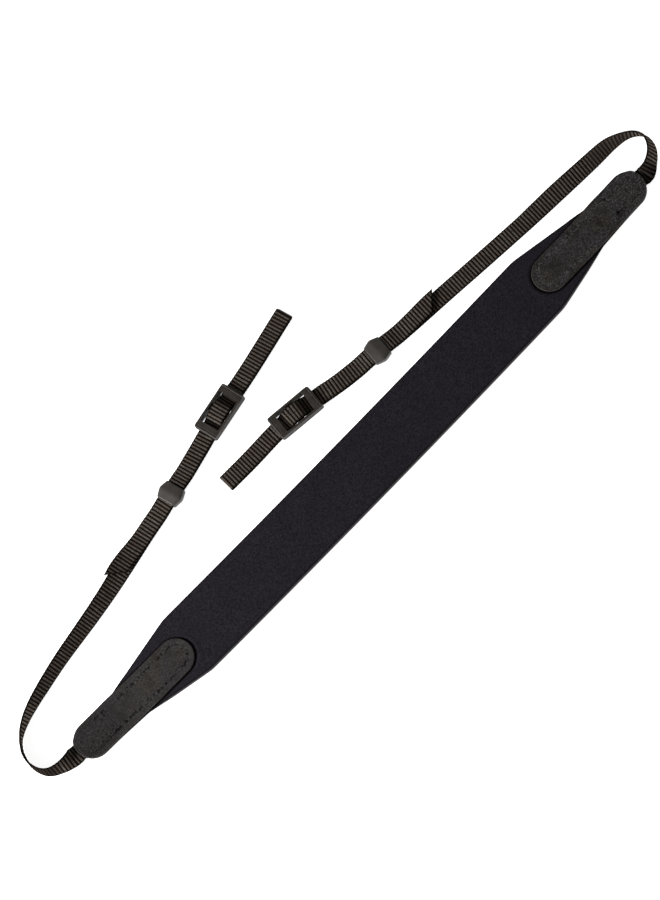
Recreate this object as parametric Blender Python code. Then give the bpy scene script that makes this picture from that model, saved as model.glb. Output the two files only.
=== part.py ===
"""A camera neck strap, lying on a table as it would by itself.

The table is the plane Z = 0, and +Z is up. The neck pad runs along X and bows a little
towards +Y. At each end of the pad two leather leaves hold the end of a webbing, which
turns back beside the pad on its edge, goes through a keeper and a sliding buckle, folds
at its tip, and comes back on top of itself to a slanted end.
The origin is on the pad's underside, at its centre. Sizes are in millimetres.
"""

import math
from collections import namedtuple

import bmesh
import bpy
import numpy as np
from mathutils import Matrix, Vector

MM = 0.001
GAP = 0.3                   # between pieces that touch

# Neck pad: foam between two knit faces
PAD_WIDTH = 38.8
PAD_THICK = 4.0
PAD_SHOULDER = 135.0        # from the centre to where the taper starts
PAD_END = 184.0             # from the centre to the pad's end, between the leaves
PAD_END_WIDTH = 20.2
PAD_HELD_THICK = 1.8        # squeezed where the leaves take hold of it
PAD_END_THICK = 1.0         # skived thin at its end
PAD_EDGE = 0.8              # chamfer of the cut edge

# Leather tabs
TAB_WIDTH = 21.0
TAB_INNER = 133.5
TAB_OUTER = 216.2
LEATHER = 1.3
BOW = 2.3                   # how far the tabs' outer ends lie towards +Y
TAB_ASIDE = 1.1             # their inner ends lie this far towards -Y from the pad's middle
TAB_ASIDE_UNTIL = 165.0     # from here outwards they swing back over the webbing's middle
TAB_CENTRED = 200.0
PAD_LIFT_START = 110.0      # from here outwards the pad rises onto the back leaf
PAD_LIFT_END = TAB_INNER - 1.0
LEAF_RAISED = 5.6           # half width of the front leaf's stretch over the webbing
LEAF_DOWN = 8.4             # from here outwards it lies on the back leaf
LEAF_SETTLED = 197.0        # and from this far along the tab

# Webbing
WEB_WIDTH = 10.4
WEB_THICK = 1.2
WEB_START = PAD_END + 4.5   # the sewn-in end
WEB_SEWN = 202.0            # a second point of the sewn-in stretch
SELVEDGE = 0.3
LAYER = WEB_THICK + GAP     # from one layer's centre to the next
STACK = LAYER + WEB_THICK

# Buckle: two rails, two end bars above the webbing, a centre bar under it
BUCKLE_LENGTH = 28.8
BUCKLE_WIDTH = 14.6
BUCKLE_FLOOR = 0.8          # height of its underside: it hangs on the webbing
BUCKLE_TOP = 5.3
BUCKLE_CORNER = 1.4
BUCKLE_RIM = 0.4
END_BAR = 4.8
END_BAR_UNDER = STACK + GAP
CENTRE_BAR_LENGTH = 4.4
CENTRE_BAR_TOP = BUCKLE_FLOOR + 1.2
CENTRE_BAR_RAMP = 5.6       # the webbing rises onto the centre bar over this length
SLOT_WIDTH = WEB_WIDTH + 1.6

# Keeper: a barrel-shaped sleeve
KEEPER_LENGTH = 10.4
KEEPER_WALL = 0.8
KEEPER_END_WIDTH = 11.6
KEEPER_MID_WIDTH = 14.5
KEEPER_SLOT_WIDTH = WEB_WIDTH + 0.5
KEEPER_SLOT_HEIGHT = STACK + 2 * GAP
KEEPER_CROWN = 0.5          # rise of the top from its sides to its middle
KEEPER_CHAMFER = 0.5        # along the two lower edges
KEEPER_RAMP = 9.0           # the webbing rises onto the keeper's floor over this length

TAIL_SLANT = math.radians(40)
TAIL_LOOSE = 28.0           # the last stretch of the tail, which has drifted

# Sewn length of webbing, then the turn and the strand, from the tab to the tip.
# lift is the height of the webbing's lowest edge above the table; roll turns the
# webbing about its own length, 90 on edge and 180 flat again with its other face up.
Row = namedtuple("Row", "x y lift roll")
RIGHT_ROUTE = [
    Row(215.4, 1.4, 1.6, 0),
    Row(217.0, 1.1, 1.0, 8),
    Row(218.8, 0.9, 0.4, 24),
    Row(220.9, 1.1, 0.2, 41),
    Row(223.2, 1.8, 0.2, 52),
    Row(225.3, 2.9, 0.2, 59),
    Row(227.4, 4.2, 0.2, 62),
    Row(229.6, 6.0, 0.2, 64),
    Row(231.7, 8.5, 0.2, 66),
    Row(233.4, 12.1, 0.2, 70),
    Row(233.8, 15.6, 0.2, 75),
    Row(232.7, 18.6, 0.2, 80),
    Row(230.2, 21.5, 0.2, 86),
    Row(226.3, 23.9, 0.2, 94),
    Row(221.8, 25.6, 0.2, 107),
    Row(217.1, 26.9, 0.2, 120),
    Row(212.8, 27.5, 0.2, 129),
    Row(207.4, 27.9, 0.2, 136),
    Row(200.7, 28.4, 0.1, 141),
    Row(192.0, 29.1, 0.0, 147),
    Row(180.5, 30.1, 0.0, 158),
    Row(164.0, 31.3, 0.0, 173),
    Row(152.6, 32.1, 0.0, 180),
    Row(126.0, 34.1, 0.0, 180),
    Row(98.6, 36.3, 0.0, 180),
    Row(71.5, 38.3, 0.0, 180),
    Row(43.8, 41.0, 0.0, 180),
    Row(23.2, 43.7, 0.0, 180),
    Row(9.0, 46.6, 0.0, 180),
    Row(-5.1, 49.1, 0.0, 180),
    Row(-20.0, 49.7, 0.0, 180),
    Row(-40.0, 49.3, 0.0, 180),
    Row(-57.8, 49.5, 0.0, 180),
]
LEFT_ROUTE = [
    Row(-215.4, 2.3, 1.6, 0),
    Row(-217.0, 2.2, 1.0, 8),
    Row(-218.9, 2.1, 0.4, 24),
    Row(-221.2, 1.8, 0.2, 41),
    Row(-223.7, 1.8, 0.2, 53),
    Row(-226.3, 2.1, 0.2, 61),
    Row(-229.2, 2.9, 0.2, 69),
    Row(-231.6, 3.8, 0.2, 73),
    Row(-233.8, 5.1, 0.2, 76),
    Row(-235.9, 7.2, 0.2, 78),
    Row(-237.4, 9.8, 0.2, 80),
    Row(-238.5, 13.5, 0.2, 81),
    Row(-238.7, 17.3, 0.2, 82),
    Row(-238.0, 21.4, 0.2, 82),
    Row(-236.3, 25.5, 0.2, 79),
    Row(-233.6, 29.2, 0.2, 79),
    Row(-229.6, 32.6, 0.2, 85),
    Row(-223.8, 35.8, 0.2, 94),
    Row(-215.2, 39.0, 0.2, 104),
    Row(-204.6, 41.9, 0.1, 111),
    Row(-188.2, 45.7, 0.0, 117),
    Row(-173.5, 48.3, 0.0, 123),
    Row(-160.0, 50.7, 0.0, 130),
    Row(-147.4, 53.3, 0.0, 138),
    Row(-130.0, 57.8, 0.0, 160),
    Row(-111.0, 62.4, 0.0, 177),
    Row(-83.4, 67.9, 0.0, 180),
    Row(-56.0, 74.8, 0.0, 180),
    Row(-33.6, 80.9, 0.0, 180),
    Row(-11.0, 85.3, 0.0, 180),
    Row(30.1, 94.9, 0.0, 180),
]

# Where the pieces sit, measured along the strand from its tip. The buckle hangs aside
# from the webbing's middle, towards +Y, and is askew on it, in degrees. The free end of
# the tail has drifted off the strand and stands up from it.
Strand = namedtuple("Strand", "name side route buckle aside askew keeper tail drift stand")
STRANDS = [
    Strand("right", 1, RIGHT_ROUTE, 52.8, 0.15, 0.0, 108.6, 150.2, 1.0, 1.0),
    Strand("left", -1, LEFT_ROUTE, 64.6, 0.05, -1.5, 116.6, 171.0, 2.2, 1.2),
]

# How fine the webbing is cut: one station for each of these
STATION_LENGTH = 14.0
STATION_BEND = math.radians(8)
STATION_ROLL = math.radians(11)
FINE_STEP = 0.5
FOLD_STEPS = 6


# Helpers

def smoothstep(value, start, end):
    """0 before start, 1 after end, and a smooth rise between them."""
    t = min(1.0, max(0.0, (value - start) / (end - start)))
    return t * t * (3.0 - 2.0 * t)


def plateau(value, half_flat, ramp):
    """1 within half_flat of zero, falling smoothly to 0 over the ramp beyond."""
    return 1.0 - smoothstep(abs(value), half_flat, half_flat + ramp)


def bow(x):
    """How far the pad and its tabs lie towards +Y at x."""
    return BOW * (x / TAB_OUTER) ** 2


def tab_line(x):
    """The tabs' centre line in plan, at x from the pad's centre."""
    return bow(x) - TAB_ASIDE * (1.0 - smoothstep(x, TAB_ASIDE_UNTIL, TAB_CENTRED))


def material(name, colour, roughness):
    mat = bpy.data.materials.new(name)
    mat.use_nodes = True
    shader = mat.node_tree.nodes["Principled BSDF"]
    shader.inputs["Base Color"].default_value = (*colour, 1.0)
    shader.inputs["Roughness"].default_value = roughness
    shader.inputs["Metallic"].default_value = 0.0
    return mat


def new_object(name, bm, mat):
    """Makes an object from a bmesh in millimetres, with its faces pointing out."""
    bmesh.ops.recalc_face_normals(bm, faces=bm.faces)
    if bm.calc_volume(signed=True) < 0:
        bmesh.ops.reverse_faces(bm, faces=bm.faces)
    bmesh.ops.scale(bm, vec=(MM, MM, MM), verts=bm.verts)
    mesh = bpy.data.meshes.new(name)
    bm.to_mesh(mesh)
    bm.free()
    mesh.materials.append(mat)
    obj = bpy.data.objects.new(name, mesh)
    bpy.context.scene.collection.objects.link(obj)
    return obj


def loft(name, rings, mat):
    """Skins a list of closed rings that have the same number of points, and caps it."""
    bm = bmesh.new()
    rows = [[bm.verts.new(point) for point in ring] for ring in rings]
    for low, high in zip(rows, rows[1:]):
        for i in range(len(low)):
            j = (i + 1) % len(low)
            bm.faces.new((low[i], low[j], high[j], high[i]))
    bm.faces.new(rows[0])
    bm.faces.new(rows[-1])
    return new_object(name, bm, mat)


def cut(obj, cutters, operation="DIFFERENCE"):
    """Applies one Boolean for each cutter, and removes the cutters."""
    for cutter in cutters:
        modifier = obj.modifiers.new(cutter.name, "BOOLEAN")
        modifier.operation = operation
        modifier.object = cutter
        bpy.context.view_layer.update()
        graph = bpy.context.evaluated_depsgraph_get()
        mesh = bpy.data.meshes.new_from_object(obj.evaluated_get(graph))
        obj.modifiers.clear()
        obj.data = mesh
        bpy.data.objects.remove(cutter)


def box(name, low, high, mat):
    bm = bmesh.new()
    bmesh.ops.create_cube(bm, size=1.0)
    size = [b - a for a, b in zip(low, high)]
    middle = [(a + b) / 2.0 for a, b in zip(low, high)]
    bmesh.ops.scale(bm, vec=size, verts=bm.verts)
    bmesh.ops.translate(bm, vec=middle, verts=bm.verts)
    return new_object(name, bm, mat)


# Neck pad

def pad_half_width(x):
    taper = max(0.0, abs(x) - PAD_SHOULDER) / (PAD_END - PAD_SHOULDER)
    return (PAD_WIDTH + (PAD_END_WIDTH - PAD_WIDTH) * taper) / 2.0


def pad_thickness(x):
    """Full in the middle, squeezed as the leaves take hold, then skived to the end."""
    squeezed = smoothstep(x, PAD_LIFT_START, PAD_LIFT_END)
    skived = max(0.0, x - PAD_LIFT_END) / (PAD_END - PAD_LIFT_END)
    return (PAD_THICK - (PAD_THICK - PAD_HELD_THICK) * squeezed
            - (PAD_HELD_THICK - PAD_END_THICK) * skived)


def pad_ring(x):
    """The pad's section at x: a flat rectangle with chamfered edges."""
    thick = pad_thickness(abs(x))
    low = (LEATHER + GAP) * smoothstep(abs(x), PAD_LIFT_START, PAD_LIFT_END)
    high = low + thick
    half = pad_half_width(x)
    edge = min(PAD_EDGE, 0.3 * thick)
    corners = [
        (-half + edge, low), (half - edge, low),
        (half, low + edge), (half, high - edge),
        (half - edge, high), (-half + edge, high),
        (-half, high - edge), (-half, low + edge),
    ]
    return [(x, bow(x) + y, z) for y, z in corners]


def make_pad(mat):
    middle_steps = np.linspace(14.0, PAD_LIFT_START, 5)[:-1]
    rise_steps = np.linspace(PAD_LIFT_START, PAD_LIFT_END, 6)
    taper_steps = np.linspace(PAD_SHOULDER, PAD_END, 4)
    outward = np.concatenate([middle_steps, rise_steps, taper_steps])
    stations = [-x for x in outward[::-1]] + list(outward)
    return loft("pad", [pad_ring(x) for x in stations], mat)


# Leather tabs

def back_under(x, y):
    """The back leaf's underside lies on the table."""
    return 0.0


def front_under(x, y):
    """The front leaf's underside: over the pad, then down over the webbing."""
    over_pad = LEATHER + GAP + pad_thickness(min(x, PAD_END)) + GAP
    over_webbing = LEATHER + GAP + WEB_THICK + GAP
    over_leather = LEATHER + GAP
    past_pad = smoothstep(x, PAD_END + 0.6, WEB_START - 0.4)
    middle = over_pad + (over_webbing - over_pad) * past_pad
    settled = smoothstep(x, PAD_END + 0.6, LEAF_SETTLED)
    edge = over_pad + (over_leather - over_pad) * settled
    return middle + (edge - middle) * smoothstep(abs(y), LEAF_RAISED, LEAF_DOWN)


def tab_rows():
    """(x, half width) along a tab: a round end, the straight sides, a round end."""
    radius = TAB_WIDTH / 2.0
    angles = [math.radians(step) for step in range(15, 91, 15)]
    inner = [(TAB_INNER + radius * (1 - math.cos(a)), radius * math.sin(a)) for a in angles]
    outer = [(TAB_OUTER - radius * (1 - math.cos(a)), radius * math.sin(a)) for a in angles]
    straight = [150.0, 165.0, 178.0, PAD_END, WEB_START, 192.0, LEAF_SETTLED]
    return inner + [(x, radius) for x in straight] + outer[::-1]


def make_leaf(name, side, under, mat):
    """One leaf: a stadium with a round end at each end, of even thickness."""
    across = (-1.0, -0.78, -0.54, 0.0, 0.54, 0.78, 1.0)
    rings = []
    for x, half in tab_rows():
        ys = [half * share for share in across]
        low = [(side * x, tab_line(x) + y, under(x, y)) for y in ys]
        high = [(px, py, pz + LEATHER) for px, py, pz in reversed(low)]
        rings.append(low + high)
    return loft(name, rings, mat)


# Webbing

def hermite(values, at, keep_level):
    """Slopes for a smooth curve through values at the given distances.

    Where keep_level is set, the curve never swings past the values themselves.
    """
    steps = np.diff(at)
    slopes = np.diff(values) / steps
    out = np.empty(len(values))
    out[0] = slopes[0]
    out[-1] = slopes[-1]
    for i in range(1, len(values) - 1):
        before, after = slopes[i - 1], slopes[i]
        if keep_level and before * after <= 0:
            out[i] = 0.0
        elif keep_level:
            out[i] = 2 * before * after / (before + after)
        else:
            share = steps[i - 1] + steps[i]
            out[i] = (before * steps[i] + after * steps[i - 1]) / share
    return out


def smooth_through(values, at, fine, keep_level=False):
    """The curve through values at their distances, read at the fine distances."""
    values = np.asarray(values, float)
    slope = hermite(values, at, keep_level)
    i = np.clip(np.searchsorted(at, fine, side="right") - 1, 0, len(at) - 2)
    span = at[i + 1] - at[i]
    t = (fine - at[i]) / span
    rise = values[i + 1] - values[i]
    start, end = slope[i] * span, slope[i + 1] * span
    curl = start + end - 2 * rise
    return values[i] + t * (start + t * (3 * rise - 2 * start - end + t * curl))


def extra_lift(strand, from_tip):
    """How far the buckle's centre bar and the keeper's floor lift the webbing."""
    over_bar = (CENTRE_BAR_TOP + GAP) * plateau(
        from_tip - strand.buckle, CENTRE_BAR_LENGTH / 2 + 0.5, CENTRE_BAR_RAMP)
    over_keeper = (KEEPER_WALL + GAP) * plateau(
        from_tip - strand.keeper, KEEPER_LENGTH / 2 + 0.4, KEEPER_RAMP)
    return over_bar + over_keeper


def lower_layer(strand):
    """Stations of the webbing from its sewn-in end to its tip.

    Returns distances from the tip, and for each the centre, the direction of travel,
    the direction across the webbing, and its normal, which points up at the tip.
    """
    sewn = [Row(strand.side * x, bow(x), LEATHER + GAP, 0) for x in (WEB_START, WEB_SEWN)]
    rows = sewn + strand.route
    plan = np.array([(row.x, row.y) for row in rows])
    at = np.concatenate([[0], np.cumsum(np.linalg.norm(np.diff(plan, axis=0), axis=1))])
    fine = np.linspace(0, at[-1], int(at[-1] / FINE_STEP))
    x = smooth_through([row.x for row in rows], at, fine)
    y = smooth_through([row.y for row in rows], at, fine)
    lift = smooth_through([row.lift for row in rows], at, fine, keep_level=True)
    roll = np.radians(smooth_through([row.roll for row in rows], at, fine, keep_level=True))
    walked = np.concatenate([[0], np.cumsum(np.hypot(np.diff(x), np.diff(y)))])
    from_tip = walked[-1] - walked
    lift = lift + np.array([extra_lift(strand, d) for d in from_tip])
    z = lift + WEB_WIDTH / 2 * np.abs(np.sin(roll)) + WEB_THICK / 2 * np.abs(np.cos(roll))

    centre = np.stack([x, y, z], axis=1)
    travel = np.gradient(centre, axis=0)
    travel /= np.linalg.norm(travel, axis=1)[:, None]
    inward = np.cross((0, 0, strand.side), travel)
    inward /= np.linalg.norm(inward, axis=1)[:, None]
    upward = np.cross(travel, inward) * strand.side
    across = inward * np.cos(roll)[:, None] + upward * np.sin(roll)[:, None]
    normal = np.cross(across, travel) * strand.side

    bend = np.arccos(np.clip((travel[1:] * travel[:-1]).sum(axis=1), -1, 1))
    cost = (FINE_STEP / STATION_LENGTH + bend / STATION_BEND
            + np.abs(np.diff(roll)) / STATION_ROLL)
    cost = np.concatenate([[0], np.cumsum(cost)])
    wanted = np.linspace(0, cost[-1], int(cost[-1]) + 1)
    tail_at = np.interp(-strand.tail, -from_tip, cost)
    wanted[np.argmin(np.abs(wanted - tail_at))] = tail_at
    read = [np.interp(wanted, cost, column) for column in
            (from_tip, *centre.T, *travel.T, *across.T, *normal.T)]
    table = np.stack(read, axis=1)
    return [(row[0], Vector(row[1:4]), Vector(row[4:7]).normalized(),
             Vector(row[7:10]).normalized(), Vector(row[10:13]).normalized())
            for row in table]


def web_ring(centre, across, normal, slant=0.0, travel=None):
    """The webbing's section: a thin strip with eased selvedges."""
    half, thick = WEB_WIDTH / 2, WEB_THICK / 2
    inner, low = half - SELVEDGE, thick - SELVEDGE
    corners = [(-half, -low), (-inner, -thick), (inner, -thick), (half, -low),
               (half, low), (inner, thick), (-inner, thick), (-half, low)]
    ring = [centre + across * a + normal * n for a, n in corners]
    if travel is not None:
        ring = [p + travel * (a * math.tan(slant)) for p, (a, n) in zip(ring, corners)]
    return ring


def make_webbing(strand, mat):
    """One band: sewn-in end, turn, strand, fold at the tip, and the tail on top."""
    stations = lower_layer(strand)
    rings = [web_ring(centre, across, normal)
             for _, centre, _, across, normal in stations]

    _, tip, travel, across, normal = stations[-1]
    middle = tip + normal * (LAYER / 2)
    for step in range(1, FOLD_STEPS):
        turned = Matrix.Rotation(math.pi * step / FOLD_STEPS, 3, travel.cross(normal))
        arm = turned @ (-normal)
        rings.append(web_ring(middle + arm * (LAYER / 2), across, -arm))

    for from_tip, centre, travel, across, normal in reversed(stations):
        if from_tip > strand.tail + 0.01:
            break
        loose = smoothstep(from_tip, strand.tail - TAIL_LOOSE, strand.tail)
        above = centre + normal * (LAYER + strand.stand * loose)
        above += across * (strand.drift * loose)
        at_end = from_tip > strand.tail - 0.01
        rings.append(web_ring(above, across, -normal, TAIL_SLANT if at_end else 0.0,
                              -travel if at_end else None))
    return loft("webbing_" + strand.name, rings, mat), stations


def place_on(obj, stations, from_tip, half_length, aside=0.0, askew=0.0):
    """Seats a piece where the strand passes, turned along it and centred on its bend.

    aside moves it across the strand, towards +Y, and askew turns it, in degrees.
    """
    distances = [-row[0] for row in stations]
    (x0, y0), (xm, ym), (x1, y1) = [
        [np.interp(-distance, distances, [row[1][k] for row in stations]) for k in (0, 1)]
        for distance in (from_tip - half_length, from_tip, from_tip + half_length)]
    x = (x0 + x1 + 2 * xm) / 4
    y = (y0 + y1 + 2 * ym) / 4
    turn = math.atan2(y0 - y1, x0 - x1)
    across = math.copysign(aside, math.cos(turn))
    x -= across * math.sin(turn)
    y += across * math.cos(turn)
    obj.location = (x * MM, y * MM, 0.0)
    obj.rotation_euler = (0.0, 0.0, turn + math.radians(askew))


# Buckle and keeper

def make_buckle(name, mat):
    """The slider: an outer block, opened for the webbing and the window, and its bar."""
    half_length, half_width = BUCKLE_LENGTH / 2, BUCKLE_WIDTH / 2
    frame = box(name, (-half_length, -half_width, BUCKLE_FLOOR),
                (half_length, half_width, BUCKLE_TOP), mat)
    bm = bmesh.new()
    bm.from_mesh(frame.data)
    upright = [e for e in bm.edges
               if abs(e.verts[0].co.z - e.verts[1].co.z) > 0.001 * MM]
    bmesh.ops.bevel(bm, geom=upright, offset=BUCKLE_CORNER * MM, segments=4,
                    affect="EDGES", profile=0.5)
    rim = [e for e in bm.edges
           if all(v.co.z > (BUCKLE_TOP - 0.01) * MM for v in e.verts)]
    bmesh.ops.bevel(bm, geom=rim, offset=BUCKLE_RIM * MM, segments=2,
                    affect="EDGES", profile=0.5)
    bm.to_mesh(frame.data)
    bm.free()

    window = half_length - END_BAR
    half_slot = SLOT_WIDTH / 2
    passage = box("passage", (-half_length - 1, -half_slot, -1.0),
                  (half_length + 1, half_slot, END_BAR_UNDER), mat)
    opening = box("opening", (-window, -half_slot, 0.0),
                  (window, half_slot, BUCKLE_TOP + 1), mat)
    cut(frame, [passage, opening])
    bar = box("bar", (-CENTRE_BAR_LENGTH / 2, -half_slot - 0.5, BUCKLE_FLOOR),
              (CENTRE_BAR_LENGTH / 2, half_slot + 0.5, CENTRE_BAR_TOP), mat)
    cut(frame, [bar], "UNION")
    return frame


def barrel(x):
    """1 in the keeper's middle and 0 at its ends, with nearly straight slopes."""
    return 1.0 - (math.hypot(x, 1.0) - 1.0) / (math.hypot(KEEPER_LENGTH / 2, 1.0) - 1.0)


def keeper_ring(x):
    """The keeper's outer section at x along the strand, wider and higher mid-way."""
    bulge = barrel(x)
    half = (KEEPER_END_WIDTH + (KEEPER_MID_WIDTH - KEEPER_END_WIDTH) * bulge) / 2
    slot_top = KEEPER_WALL + KEEPER_SLOT_HEIGHT
    side_top = slot_top + 0.1 - 0.5 * bulge
    top = slot_top + KEEPER_WALL * (0.5 + 0.35 * bulge)
    crown = KEEPER_CROWN * (0.5 + 0.5 * bulge)
    low = half - KEEPER_CHAMFER
    points = [(-low, 0.0), (low, 0.0), (half, KEEPER_CHAMFER), (half, side_top)]
    for share in (0.85, 0.6, 0.3, 0.0, -0.3, -0.6, -0.85):
        points.append((half * share, top + crown * (1 - share * share) - 0.5 * share ** 4))
    points += [(-half, side_top), (-half, KEEPER_CHAMFER)]
    return [(x, y, z) for y, z in points]


def make_keeper(name, mat):
    stations = np.linspace(-KEEPER_LENGTH / 2, KEEPER_LENGTH / 2, 9)
    sleeve = loft(name, [keeper_ring(x) for x in stations], mat)
    half_slot = KEEPER_SLOT_WIDTH / 2
    slot = box("slot", (-KEEPER_LENGTH, -half_slot, KEEPER_WALL),
               (KEEPER_LENGTH, half_slot, KEEPER_WALL + KEEPER_SLOT_HEIGHT), mat)
    cut(sleeve, [slot])
    return sleeve


def main():
    for obj in list(bpy.data.objects):
        bpy.data.objects.remove(obj)
    neoprene = material("neoprene", (0.015, 0.013, 0.023), 0.85)
    leather = material("leather", (0.042, 0.040, 0.037), 0.6)
    woven = material("webbing", (0.045, 0.038, 0.032), 0.8)
    plastic = material("plastic", (0.045, 0.042, 0.038), 0.45)

    make_pad(neoprene)
    for strand in STRANDS:
        make_leaf("tab_back_" + strand.name, strand.side, back_under, leather)
        make_leaf("tab_front_" + strand.name, strand.side, front_under, leather)
        _, stations = make_webbing(strand, woven)
        buckle = make_buckle("buckle_" + strand.name, plastic)
        place_on(buckle, stations, strand.buckle, BUCKLE_LENGTH / 2, strand.aside,
                 strand.askew)
        keeper = make_keeper("keeper_" + strand.name, plastic)
        place_on(keeper, stations, strand.keeper, KEEPER_LENGTH / 2)


main()
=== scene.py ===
"""The looks of the camera neck strap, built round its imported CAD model.

Each soft or moulded piece gets a finer mesh that stands for its CAD node: the pad with its
squeezed rim, the leather leaves with their stitches, the ribbed webbing, the buckles and
the keepers. The sizes and routes are those of the CAD source, in millimetres.
"""

import math
from collections import namedtuple

import bmesh
import bpy
import numpy as np
from mathutils import Matrix, Vector

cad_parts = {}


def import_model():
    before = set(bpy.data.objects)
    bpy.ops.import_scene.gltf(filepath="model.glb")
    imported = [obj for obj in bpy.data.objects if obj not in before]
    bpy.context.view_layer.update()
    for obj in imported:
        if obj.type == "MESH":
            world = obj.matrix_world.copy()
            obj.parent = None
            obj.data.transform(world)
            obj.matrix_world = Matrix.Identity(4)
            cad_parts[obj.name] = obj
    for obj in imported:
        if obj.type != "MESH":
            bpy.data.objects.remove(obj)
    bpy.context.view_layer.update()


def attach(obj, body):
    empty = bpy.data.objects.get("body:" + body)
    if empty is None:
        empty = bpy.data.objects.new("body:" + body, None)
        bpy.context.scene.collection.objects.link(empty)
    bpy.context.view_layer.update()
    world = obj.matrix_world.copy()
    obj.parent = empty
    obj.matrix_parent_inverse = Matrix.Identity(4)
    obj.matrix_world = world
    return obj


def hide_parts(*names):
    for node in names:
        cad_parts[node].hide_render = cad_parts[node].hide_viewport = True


MM = 0.001
GAP = 0.3  # between two touching pieces, as in the CAD source
WELD = 0.002  # points closer than this are one

# Neck pad
PAD_WIDTH = 38.8
PAD_THICK = 4.0
PAD_SHOULDER = 135.0
PAD_SHOULDER_EASE = 1.6
PAD_END = 184.0
PAD_END_WIDTH = 20.2
PAD_HELD_THICK = 1.8
PAD_END_THICK = 1.0
PAD_SKIVE = 1.2  # what the free edges lose towards the end
PAD_EDGE = 0.75  # rounding of the cut edges
PAD_UNDER_EDGE = 0.6  # and its share on the underside
PAD_SQUEEZE = (0.15, 3.0)  # outside the leaves, from squeezed to full thickness
PAD_SETTLE = (0.3, 3.6)  # outside the leaves, from lifted to lying on the table
PAD_CUT = 0.16  # width of the bare foam at the cut
PAD_RIM_LINE = 0.42  # inset of the dark line along the rim
PAD_STEP = 3.0  # between its cross-sections
PAD_FINE_STEP = 0.9
PAD_FINE_FROM = 120.0
KNIT_WALE = 0.45  # half the width of a column of loops
KNIT_COURSE = 0.62  # height of a loop

# Leather tabs
TAB_WIDTH = 21.0
TAB_RADIUS = TAB_WIDTH / 2
TAB_INNER = 133.5
TAB_OUTER = 216.2
LEATHER = 1.3
LEATHER_EDGE = 0.42  # rounding of the leaves' edges
LEATHER_WAVES = 0.045
LEATHER_HOLLOW = 0.45  # the deepest that the underside follows the face
PEBBLE = 1.0
BOW = 2.3  # how far the tabs' outer ends lie towards +Y
TAB_ASIDE = 1.1  # how far their inner ends lie the other way
TAB_ASIDE_UNTIL = 165.0
TAB_CENTRED = 200.0
PAD_LIFT_START = 110.0
PAD_LIFT_END = TAB_INNER - 1.0
LEAF_RAISED = 5.6  # from the centre line: where the front leaf starts to fall
LEAF_DOWN = 8.4  # and where it is down
LEAF_SETTLED = 197.0  # where its edge lies on the back leaf
LEAF_INSETS = [TAB_RADIUS, 8.6, 7.0, 5.6, 4.6, 3.9, 3.55, 3.2, 2.85, 2.5, 2.0, 1.5, 1.1,
               0.7, 0.42, 0.25, 0.12, 0.03, 0.0]  # of the rings that make a leaf

# Webbing
WEB_WIDTH = 10.4
WEB_THICK = 1.2
WEB_START = PAD_END + 4.5
WEB_SEWN = 202.0
LAYER = WEB_THICK + GAP
STACK = LAYER + WEB_THICK
RIB_PITCH = 2.0
RIB_STEPS = 8  # stations for each rib
RIB_DEPTH = 0.36
RIB_POWER = 2.2  # higher for wider ribs and narrower gaps
SELVEDGE = 0.6
RIBS_END = (WEB_WIDTH / 2 - 0.95, WEB_WIDTH / 2 - 0.45)  # from the middle
SELVEDGE_THINNER = 0.10
SCALLOP = 0.14
SCALLOPED = (3.4, 5.0)  # where the edges' scallops set in, from the middle
WEB_COLUMNS = 19  # points across each face
YARN = 0.30  # half a yarn's width
YARN_SLANT = 0.16
LOWER_FACE_SHIFT = 3.0  # of the pattern across the webbing
FINE_STEP = 0.5
FOLD_STEPS = 13
TAIL_SLANT = math.radians(40)
TAIL_LOOSE = 28.0
TAIL_SEALED = (-1.0, -0.1)  # from the tail's cut

# Tones along the webbing, painted shadow and shade and a lighter stretch: half of each level
# stretch with the ramp beyond it, then the places in millimetres past the tab, and the strengths
# painted shadow of a leaf on the webbing where it leaves the tab
TAB_SHADOW_SPAN = (4.0, 4.0)
LIGHTER_SPAN = (8.0, 6.0)
# painted shade on the bend of each loop
BEND_SHADE_SPAN = (9.0, 8.0)
# painted shade where the webbing slopes down under each buckle's +X end bar
BAR_SHADE_SPAN = (2.5, 3.0)
BAR_SHADE_FROM_MIDDLE = 7.0  # where the painted shade under the +X bar lies, from the buckle's middle
BAR_SHADE = 0.75
CLEAR_OF_TAB = 3.0  # what the webbing's first bend takes up beyond the tab
Tones = namedtuple("Tones", "stiffened faded_at bent_at flattened dulled")
TONES = {"right": Tones(0.7, 15.0, 46.0, 0.55, 0.0),
         "left": Tones(0.3, 52.0, 24.0, 0.0, 0.8)}

# Buckle
BUCKLE_LENGTH = 28.8
BUCKLE_WIDTH = 14.6
BUCKLE_FLOOR = 0.8
BUCKLE_TOP = 5.3
BUCKLE_CORNER = 1.4
END_BAR = 4.8
END_BAR_UNDER = STACK + GAP
CENTRE_BAR_LENGTH = 4.4
CENTRE_BAR_TOP = BUCKLE_FLOOR + 1.2
CENTRE_BAR_CORNER = 0.3
CENTRE_BAR_OVERLAP = 0.4  # into each rail
CENTRE_BAR_FLAT = CENTRE_BAR_LENGTH / 2 + 0.5  # half of the webbing's level stretch
CENTRE_BAR_RAMP = 5.6
SLOT_WIDTH = WEB_WIDTH + 1.6
WINDOW_CORNER = 0.5
PASSAGE_CORNER = 0.2
BUCKLE_LIP = 1.2
BUCKLE_LIP_FALL = 0.95
BUCKLE_GROOVE = [(0.75, 0.0), (0.55, 0.22), (0.30, 0.22), (0.10, 0.04)]  # (in, down)
BUCKLE_CHAMFER = 0.35
BUCKLE_EDGE = 0.16  # rounding of all its edges
BUCKLE_SHARP = 40  # degrees from which an edge is rounded
CUT_PAST = 1.0  # how far a cutting block reaches past what it cuts
SIDE_REACH = 9.0  # and half the width of the block that gives the side view
GROOVE_SHADE_HEIGHT = 3.6  # of the painted shade of a groove round the buckle's sides
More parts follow.
